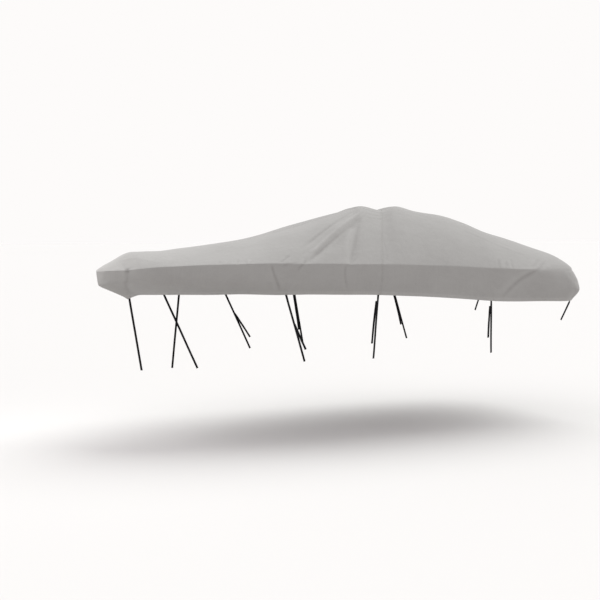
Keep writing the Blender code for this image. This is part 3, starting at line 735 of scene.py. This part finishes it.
canvasFinish = {
    "colour": "#989694",             # solution-dyed grey polyester
    "pale": "#a8a6a4",               # the paler end of the cloth's uneven tone, on the ridges of its folds, and along its doubled hem, partly as painted light bounced up from the floor
    "dark": "#7e7b79",               # painted shade in the hollows of its folds; the cloth's uneven tone also leans towards it
    "thread": 0.0032,                # spacing of the weave in metres, drawn 5 times too coarse, to show
    "slub": (0.9, 3.0, 0.6),         # thick places in the yarn: to the metre, detail, roughness
    "slubStretch": (1.6, 140.0),     # times as many along the yarn and across it
    "patterns": {                    # to the metre, detail, roughness
        "mottle": (2.3, 5.0, 0.62), "grain": (60.0, 4.0, 0.7), "crumple": (14.0, 5.0, 0.6)},
    "shade": 0.11,                   # 0 is dark, 0.5 the plain colour and 1 pale, once these shares are added
    # bend paints shade into the hollows of the folds and along the lap's edge, and makes the ridges paler
    "shadeShares": {
        "slub": 0.16, "mottle": 0.30, "grain": 0.16, "weave": 0.05, "bend": -0.22, "hemBand": 0.22},
    "heightShares": {"crumple": 0.010, "slub": 0.0012, "weave": 0.00025},    # metres
    "bump": 0.5,
    "roughness": 0.86,
    "roughGrain": 0.12,              # the grain moves the roughness this much
    "specular": 0.35,
    "sheen": 0.12,
    "sheenRoughness": 0.5,
}


def wovenCanvas():
    # coated woven polyester: matt, a fine plain weave, faint slubs in both yarns, paler on the ridges of its
    # folds, with painted shade in their hollows, and paler along the doubled hem, partly as painted bounce
    # light
    made, tree, shader = newMaterial("wovenPolyesterCanvas")
    uv = addNode(tree, "ShaderNodeUVMap", uv_map="clothMetres").outputs["UV"]
    turn = 2 * math.pi / canvasFinish["thread"]
    scaled = addNode(tree, "ShaderNodeVectorMath", {0: uv, 1: (turn, turn, 0)}, operation="MULTIPLY")
    split = addNode(tree, "ShaderNodeSeparateXYZ", {0: scaled.outputs[0]})
    warp, weft = (addNode(tree, "ShaderNodeMath", {0: split.outputs[axis]}, operation="SINE").outputs[0]
                  for axis in "XY")
    weave = addNode(tree, "ShaderNodeMath", {0: warp, 1: weft}, operation="MULTIPLY").outputs[0]
    along, across = canvasFinish["slubStretch"]
    scale, detail, roughness = canvasFinish["slub"]
    slubs = []
    for stretch in ((along, across, 1.0), (across, along, 1.0)):
        drawn = addNode(tree, "ShaderNodeVectorMath", {0: uv, 1: stretch}, operation="MULTIPLY").outputs[0]
        slubs.append(addNode(tree, "ShaderNodeTexNoise", {
            "Vector": drawn, "Scale": scale, "Detail": detail, "Roughness": roughness}).outputs["Fac"])
    slub = addNode(tree, "ShaderNodeMath", {0: slubs[0], 1: slubs[1]}, operation="ADD").outputs[0]
    sources = {"slub": slub, "weave": weave}
    place = addNode(tree, "ShaderNodeTexCoord").outputs["Object"]
    for label, (scale, detail, roughness) in canvasFinish["patterns"].items():
        sources[label] = addNode(tree, "ShaderNodeTexNoise", {
            "Vector": place, "Scale": scale, "Detail": detail, "Roughness": roughness}).outputs["Fac"]
    for label in ("bend", "hemBand"):
        sources[label] = addNode(tree, "ShaderNodeAttribute", attribute_name=label).outputs["Fac"]

    shade, height = canvasFinish["shade"], 0.0
    for label, share in canvasFinish["shadeShares"].items():
        shade = addNode(tree, "ShaderNodeMath", {0: sources[label], 1: share, 2: shade},
                        operation="MULTIPLY_ADD").outputs[0]
    for label, share in canvasFinish["heightShares"].items():
        height = addNode(tree, "ShaderNodeMath", {0: sources[label], 1: share, 2: height},
                         operation="MULTIPLY_ADD").outputs[0]
    toned = addNode(tree, "ShaderNodeValToRGB", {"Fac": shade})
    stops = toned.color_ramp.elements
    stops[0].color, stops[1].color = linear(canvasFinish["dark"]), linear(canvasFinish["pale"])
    stops.new(0.5).color = linear(canvasFinish["colour"])
    swing = canvasFinish["roughGrain"]
    rough = addNode(tree, "ShaderNodeMath", {
        0: sources["grain"], 1: swing, 2: canvasFinish["roughness"] - swing / 2}, operation="MULTIPLY_ADD")
    bump = addNode(tree, "ShaderNodeBump", {
        "Height": height, "Strength": canvasFinish["bump"], "Distance": 1.0})
    setInputs(tree, shader, {
        "Base Color": toned.outputs["Color"], "Roughness": rough.outputs[0],
        "Normal": bump.outputs["Normal"], "Specular IOR Level": canvasFinish["specular"],
        "Sheen Weight": canvasFinish["sheen"], "Sheen Roughness": canvasFinish["sheenRoughness"]})
    return made


webbingFinish = {
    "colour": "#0c0c0e",             # black polypropylene
    "pale": "#1c1c1f",
    "rib": 0.0021,                   # spacing of the weave's chevrons along the webbing, in metres
    "chevron": 0.003125,             # half the width of one: four lie side by side
    "ribShade": 0.22,                # a rib is paler, and the groove beside it darker, by this share
    "wear": 30.0,                    # rubbed places, to the metre
    "bump": 0.6,
    "ribHeight": 0.0004,
    "roughness": 0.62,
    "specular": 0.12,
}


def wovenWebbing():
    # woven polypropylene webbing: nearly black and dull, with fine chevron ribs
    made, tree, shader = newMaterial("wovenWebbing")
    uv = addNode(tree, "ShaderNodeUVMap", uv_map="clothMetres").outputs["UV"]
    split = addNode(tree, "ShaderNodeSeparateXYZ", {0: uv}).outputs
    fold = addNode(tree, "ShaderNodeMath", {0: split["X"], 1: webbingFinish["chevron"]}, operation="PINGPONG")
    along = addNode(tree, "ShaderNodeMath", {0: split["Y"], 1: fold.outputs[0]}, operation="ADD")
    turned = addNode(tree, "ShaderNodeMath", {0: along.outputs[0], 1: 2 * math.pi / webbingFinish["rib"]},
                     operation="MULTIPLY")
    rib = addNode(tree, "ShaderNodeMath", {0: turned.outputs[0]}, operation="SINE").outputs[0]
    place = addNode(tree, "ShaderNodeTexCoord").outputs["Object"]
    wear = addNode(tree, "ShaderNodeTexNoise", {
        "Vector": place, "Scale": webbingFinish["wear"], "Detail": 3.0}).outputs["Fac"]
    shade = addNode(tree, "ShaderNodeMath", {0: rib, 1: webbingFinish["ribShade"], 2: wear},
                    operation="MULTIPLY_ADD")
    mix = addNode(tree, "ShaderNodeMix", {
        "Factor": shade.outputs[0], 6: linear(webbingFinish["colour"]), 7: linear(webbingFinish["pale"])},
        data_type="RGBA", clamp_factor=True)
    bump = addNode(tree, "ShaderNodeBump", {
        "Height": rib, "Strength": webbingFinish["bump"], "Distance": webbingFinish["ribHeight"]})
    setInputs(tree, shader, {
        "Base Color": mix.outputs[2], "Normal": bump.outputs["Normal"],
        "Roughness": webbingFinish["roughness"], "Specular IOR Level": webbingFinish["specular"]})
    return made


threadFinish = {
    "colour": "#8f8a82",
    "dark": "#6e6a63",
    "twist": 400.0,                  # light and dark places along the twisted yarns, to the metre
    "roughness": 0.7,
}


def sewingThread():
    # bonded polyester thread: twisted, a little darker than the cloth
    made, tree, shader = newMaterial("bondedPolyesterThread")
    place = addNode(tree, "ShaderNodeTexCoord").outputs["Object"]
    twist = addNode(tree, "ShaderNodeTexNoise", {
        "Vector": place, "Scale": threadFinish["twist"], "Detail": 1.0}).outputs["Fac"]
    mix = addNode(tree, "ShaderNodeMix", {
        "Factor": twist, 6: linear(threadFinish["dark"]), 7: linear(threadFinish["colour"])},
        data_type="RGBA", clamp_factor=True)
    setInputs(tree, shader, {"Base Color": mix.outputs[2], "Roughness": threadFinish["roughness"]})
    return made


canvas, webbing, thread = wovenCanvas(), wovenWebbing(), sewingThread()
print("finishes made")


def makePanel(name, stations, isBow):
    cloth = layCloth(stations, isBow)
    shapeCloth(cloth, isBow)
    foldHem(cloth)
    print(name, len(cloth.finalPoints), "points", len(cloth.faces), "faces")
    return cloth, clothObject(cloth, name, canvas)


bowCloth, bowPanel = makePanel("bowPanel", bowStations, True)
sternCloth, sternPanel = makePanel("sternPanel", sternStations, False)

sewing = {
    "pitch": 0.008,                  # from stitch to stitch, drawn twice as coarse as it is, to show
    "length": 0.0056,
    "width": 0.0013,
    "height": 0.0009,
    "raised": 0.25,                  # its middle is this share of its height above the cloth
    "segments": 6,
    "hemRow": 2,                     # which row of the hem's points the top stitching follows
    "seamRows": (-0.0085, 0.0035),   # the two rows of the lapped seam, from the ridge place of the seam
    "boxHalf": 0.0100,               # the box and cross that hold each strap to the hem
    "boxRows": (0.004, 0.0235),      # its foot and top, from the hem's edge
    "boxRaised": 0.3,                # it lies this share of the hem's stand above the hem's edge
    "strapPlaces": [
        (port, 0.677), (starboard, 1.220), (port, 1.851), (starboard, 1.851), (port, 2.930),
        (starboard, 2.930), (port, 4.462), (starboard, 4.462), (port, 5.700), (starboard, 5.700)],
}


def stitchTree(material):
    # stitches set along every line of edges, each turned to lie on the cloth
    tree = bpy.data.node_groups.new("stitchRow", "GeometryNodeTree")
    face = tree.interface
    face.new_socket("Geometry", in_out="INPUT", socket_type="NodeSocketGeometry")
    sizes = {}
    for label in ("Pitch", "Stitch Length", "Stitch Width", "Stitch Height"):
        sizes[label] = face.new_socket(label, in_out="INPUT", socket_type="NodeSocketFloat")
    face.new_socket("Geometry", in_out="OUTPUT", socket_type="NodeSocketGeometry")
    given = addNode(tree, "NodeGroupInput").outputs
    path = addNode(tree, "GeometryNodeMeshToCurve", {"Mesh": given["Geometry"]})
    spaced = addNode(tree, "GeometryNodeResampleCurve", {
        "Curve": path.outputs["Curve"], "Length": given["Pitch"]}, mode="LENGTH")
    ball = addNode(tree, "GeometryNodeMeshUVSphere", {
        "Segments": sewing["segments"], "Rings": 4, "Radius": 0.5})
    size = addNode(tree, "ShaderNodeCombineXYZ", {
        0: given["Stitch Width"], 1: given["Stitch Height"], 2: given["Stitch Length"]})
    stitch = addNode(tree, "GeometryNodeTransform", {
        "Geometry": ball.outputs["Mesh"], "Scale": size.outputs[0]})
    along = addNode(tree, "GeometryNodeInputTangent")
    up = addNode(tree, "GeometryNodeInputNamedAttribute", {"Name": "up"}, data_type="FLOAT_VECTOR")
    turn = addNode(tree, "FunctionNodeAxesToRotation", {
        "Primary Axis": along.outputs[0], "Secondary Axis": up.outputs["Attribute"]},
        primary_axis="Z", secondary_axis="Y")
    placed = addNode(tree, "GeometryNodeInstanceOnPoints", {
        "Points": spaced.outputs["Curve"], "Instance": stitch.outputs["Geometry"],
        "Rotation": turn.outputs["Rotation"]})
    real = addNode(tree, "GeometryNodeRealizeInstances", {"Geometry": placed.outputs["Instances"]})
    dressed = addNode(tree, "GeometryNodeSetMaterial", {
        "Geometry": real.outputs["Geometry"], "Material": material})
    addNode(tree, "NodeGroupOutput", {"Geometry": dressed.outputs["Geometry"]})
    return tree, {label: made.identifier for label, made in sizes.items()}


def onCloth(cloth, numbers):
    return [(cloth.shaped[n], cloth.normals[n]) for n in numbers]


def boxRow(cloth, side, x):
    # a square with a cross in it, above the hem's edge
    grid = cloth.hemGrid[0 if side == port else 1]
    edge = cloth.shaped[grid[-1]]
    k = int(np.abs(edge[:, 0] - x).argmin())
    if abs(edge[k, 0] - x) > 0.02:   # the strap is on the other panel
        return []
    k = min(max(k, 1), len(edge) - 2)
    along = edge[k + 1] - edge[k - 1]
    along = along / np.linalg.norm(along)
    rise = cloth.shaped[grid[0][k]] - edge[k]
    rise = rise / np.linalg.norm(rise)
    out = cloth.normals[grid[2][k]]
    half, (low, high) = sewing["boxHalf"], sewing["boxRows"]
    start = edge[k] + along * (x - edge[k, 0]) + out * clothMake["hemStand"] * sewing["boxRaised"]
    marks = [(-1, low), (1, low), (1, high), (-1, high), (-1, low), (1, high), (1, low), (-1, high)]
    spots = [start + along * half * a + rise * h for a, h in marks]
    path = []
    for a, b in zip(spots, spots[1:]):
        path += [(a + (b - a) * t, out) for t in (0, 0.25, 0.5, 0.75)]
    return path + [(spots[-1], out)]


def sewCloth(cloth, name, withSeam):
    # each row is a list of places on the cloth, with the way out of it there
    rows = [onCloth(cloth, grid[sewing["hemRow"]]) for grid in cloth.hemGrid]
    if withSeam:
        for shift in sewing["seamRows"]:
            i = int(np.abs(bowStations - (seamAt + shift)).argmin())
            rows.append(onCloth(cloth, cloth.rows[i]))
    fore, aft = cloth.shaped[:, 0].min() - 0.01, cloth.shaped[:, 0].max() + 0.01
    rows += [boxRow(cloth, side, x) for side, x in sewing["strapPlaces"] if fore < x < aft]
    origin = np.array(coverShape["origin"])
    places, ups, edges = [], [], []
    for row in rows:
        edges += [(len(places) + n, len(places) + n + 1) for n in range(len(row) - 1)]
        places += [tuple(p + up * sewing["height"] * sewing["raised"] - origin) for p, up in row]
        ups += [up for _, up in row]
    mesh = bpy.data.meshes.new(name)
    mesh.from_pydata(places, edges, [])
    outwards = mesh.attributes.new("up", "FLOAT_VECTOR", "POINT")
    outwards.data.foreach_set("vector", np.array(ups, np.float32).ravel())
    guide = addToScene(name + "Guide", mesh)
    maker = guide.modifiers.new("stitches", "NODES")
    maker.node_group = stitchRow
    for label, key in (("Pitch", "pitch"), ("Stitch Length", "length"), ("Stitch Width", "width"),
                       ("Stitch Height", "height")):
        maker[stitchSockets[label]] = sewing[key]
    depsgraph = bpy.context.evaluated_depsgraph_get()
    made = bpy.data.meshes.new_from_object(guide.evaluated_get(depsgraph))
    made.name = name
    piece = addToScene(name, made)
    bpy.data.objects.remove(guide)
    made.shade_smooth()
    print(name, len(made.polygons), "faces of stitches")
    return piece


stitchRow, stitchSockets = stitchTree(thread)
bowSewing = sewCloth(bowCloth, "bowStitching", True)
sternSewing = sewCloth(sternCloth, "sternStitching", False)

# webbing, along the straps of the frame, in metres
webbingMake = {
    "thick": 0.0016,
    "row": 0.016,                    # spacing of its rows of points
    "profile": [                     # across it: place and share of its thickness, full at the selvedges
        (-0.0125, 0.5), (-0.0118, 1.0), (-0.0100, 1.0), (-0.0092, 0.82), (0.0, 0.82),
        (0.0092, 0.82), (0.0100, 1.0), (0.0118, 1.0), (0.0125, 0.5)],
    "turnedEnd": 0.022,              # a free end is folded over and sewn,
    "turnedThick": 1.9,              # so it is this many times as thick
    "sway": 0.0015,                  # it lies a little uneven,
    "swayFrom": 0.06,                # from this far below the hem on,
    "swayGrow": 0.1,                 # fully so after this much more
    "swayTurn": 9.0,                 # radians of its wave to the metre
}


def webbingRows(node):
    # the middle and the width of each row of the frame's strap, from its top down
    spots = {tuple(round(c, 5) for c in v.co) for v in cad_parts[node].data.vertices}
    spots = sorted(spots, key=lambda p: -p[2])
    rows = []
    for n in range(0, len(spots) - 3, 4):
        four = [Vector(p) for p in spots[n:n + 4]]
        middle = sum(four, Vector()) / 4
        a, b = max(((p, q) for p in four for q in four), key=lambda pair: (pair[0] - pair[1]).length)
        width = b - a
        width = width if width.x > 0 or (abs(width.x) < 1e-4 and width.y > 0) else -width
        rows.append((middle, width.normalized()))
    return rows


def webbingPiece(name, node, isTail):
    rows = webbingRows(node)
    lengths = np.cumsum([0] + [(b[0] - a[0]).length for a, b in zip(rows, rows[1:])])
    count = max(int(lengths[-1] / webbingMake["row"]), 6)
    profile = webbingMake["profile"]
    outline = [(x, h) for x, h in profile] + [(x, -h) for x, h in reversed(profile)]
    points, faces, uvs = [], [], []
    rng = np.random.default_rng(abs(int(rows[0][0].x * 1000)) + isTail)
    phase = rng.uniform(0, 6.28)
    for n in range(count + 1):
        s = lengths[-1] * n / count
        k = min(max(int(np.searchsorted(lengths, s, side="right")) - 1, 0), len(rows) - 2)
        t = (s - lengths[k]) / (lengths[k + 1] - lengths[k])
        middle = rows[k][0].lerp(rows[k + 1][0], t)
        width = rows[k][1].lerp(rows[k + 1][1], t).normalized()
        down = (rows[k + 1][0] - rows[k][0]).normalized()
        face = width.cross(down).normalized()
        free = min(max(s - webbingMake["swayFrom"], 0) / webbingMake["swayGrow"], 1)
        middle += face * webbingMake["sway"] * math.sin(phase + s * webbingMake["swayTurn"]) * free
        turned = isTail and lengths[-1] - s < webbingMake["turnedEnd"]
        thick = webbingMake["thick"] * (webbingMake["turnedThick"] if turned else 1)
        points += [middle + width * x + face * thick * h / 2 for x, h in outline]
        uvs += [(x, s) for x, _ in outline]
    ring = len(outline)
    for n in range(count):
        for m in range(ring):
            a, b = n * ring + m, n * ring + (m + 1) % ring
            faces.append((a, b, b + ring, a + ring))
    faces.append(tuple(reversed(range(ring))))
    faces.append(tuple(range(count * ring, (count + 1) * ring)))
    mesh = bpy.data.meshes.new(name)
    mesh.from_pydata([tuple(p) for p in points], [], faces)
    layer = mesh.uv_layers.new(name="clothMetres")
    for loop in mesh.loops:
        layer.data[loop.index].uv = uvs[loop.vertex_index]
    mesh.materials.append(webbing)
    mesh.validate()
    mesh.update()
    return addToScene(name, mesh)


straps = {}
for node in sorted(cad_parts):
    if node.startswith(("strap_", "tail_")):
        words = node.split("_")
        label = words[0] + "".join(w.capitalize() for w in words[1:])
        straps[node] = webbingPiece(label, node, node.startswith("tail_"))
print("webbing made", len(straps))

studio = {
    "floor": "#d8d6d5",
    "floorHeight": -2.62,
    "floorHalf": 150.0,
    "floorRoughness": 0.9,
    "floorSpecular": 0.1,
    "background": "#fdfbfa",         # as the camera sees it, the same as the lit floor
    "ambient": 0.893,
    "ambientColour": "#fffdfe",
    "key": 2.11,
    "keyColour": "#fbfffd",
    "keySoftness": 0.9,              # radians
    "keyElevation": 55.0,            # from behind, so that slopes which face the camera are the darker ones
    "keyAzimuth": 120.0,
    "bowEnergy": 24.0,               # a soft box over the bow
    "bowSize": 1.0,
    "bowPlace": (-4.3, 0.7, 0.5),
    "bowTarget": (-3.05, 0.0, -0.6),
    "cameraAzimuth": -25.0,          # from off the beam, towards the bow
    "cameraElevation": 3.6,
    "cameraDistance": 14.0,
    "cameraTarget": (-0.80714, 0.0, -1.11589),
    "lens": 70.2,
    "sensor": 36.0,
    "clipEnd": 400.0,
}


def towards(azimuth, elevation):
    a, e = math.radians(azimuth), math.radians(elevation)
    return Vector((math.sin(a) * math.cos(e), -math.cos(a) * math.cos(e), math.sin(e)))


def turnFrom(thing, way):
    # a lamp or camera at the end of way then looks back along it
    thing.rotation_euler = way.to_track_quat("Z", "Y").to_euler()


def makeFloor():
    # matt paint on a smooth floor: even, with hardly a gleam
    half = studio["floorHalf"]
    mesh = bpy.data.meshes.new("studioFloor")
    corners = ((-half, -half), (half, -half), (half, half), (-half, half))
    mesh.from_pydata([(x, y, studio["floorHeight"]) for x, y in corners], [], [(0, 1, 2, 3)])
    paint, tree, shader = newMaterial("paleMattFloor")
    setInputs(tree, shader, {
        "Base Color": linear(studio["floor"]), "Roughness": studio["floorRoughness"],
        "Specular IOR Level": studio["floorSpecular"]})
    mesh.materials.append(paint)
    return addToScene("studioFloor", mesh)


def makeWorld():
    # soft light from all round, and a plain background for the camera alone
    world = bpy.data.worlds.new("studioAir")
    scene.world = world
    world.use_nodes = True
    tree = world.node_tree
    ambient = tree.nodes["Background"]
    setInputs(tree, ambient, {"Strength": studio["ambient"], "Color": linear(studio["ambientColour"])})
    backdrop = addNode(tree, "ShaderNodeBackground", {"Color": linear(studio["background"])})
    seen = addNode(tree, "ShaderNodeLightPath").outputs["Is Camera Ray"]
    shown = addNode(tree, "ShaderNodeMixShader", {0: seen, 1: ambient.outputs[0], 2: backdrop.outputs[0]})
    setInputs(tree, tree.nodes["World Output"], {"Surface": shown.outputs[0]})


def makeLights():
    sun = bpy.data.lights.new("softKey", "SUN")
    sun.energy, sun.angle = studio["key"], studio["keySoftness"]
    sun.color = linear(studio["keyColour"])[:3]
    turnFrom(addToScene("softKey", sun), towards(studio["keyAzimuth"], studio["keyElevation"]))
    softBox = bpy.data.lights.new("bowSoftBox", "AREA")
    softBox.energy, softBox.size = studio["bowEnergy"], studio["bowSize"]
    bowLight = addToScene("bowSoftBox", softBox)
    bowLight.location = studio["bowPlace"]
    bowLight.visible_camera = False
    turnFrom(bowLight, Vector(studio["bowPlace"]) - Vector(studio["bowTarget"]))


def makeCamera():
    lens = bpy.data.cameras.new("coverCamera")
    lens.lens, lens.sensor_width, lens.clip_end = studio["lens"], studio["sensor"], studio["clipEnd"]
    camera = addToScene("coverCamera", lens)
    away = towards(studio["cameraAzimuth"], studio["cameraElevation"])
    camera.location = Vector(studio["cameraTarget"]) + away * studio["cameraDistance"]
    turnFrom(camera, away)
    scene.camera = camera


floor = makeFloor()
makeWorld()
makeLights()
makeCamera()
scene.view_settings.view_transform = "Standard"
print("studio made")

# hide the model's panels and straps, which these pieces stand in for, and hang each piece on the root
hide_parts("bow_panel")
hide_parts("stern_panel")
for piece in (bowPanel, sternPanel, bowSewing, sternSewing):
    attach(piece, "root")
for node, piece in straps.items():
    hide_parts(node)
    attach(piece, "root")
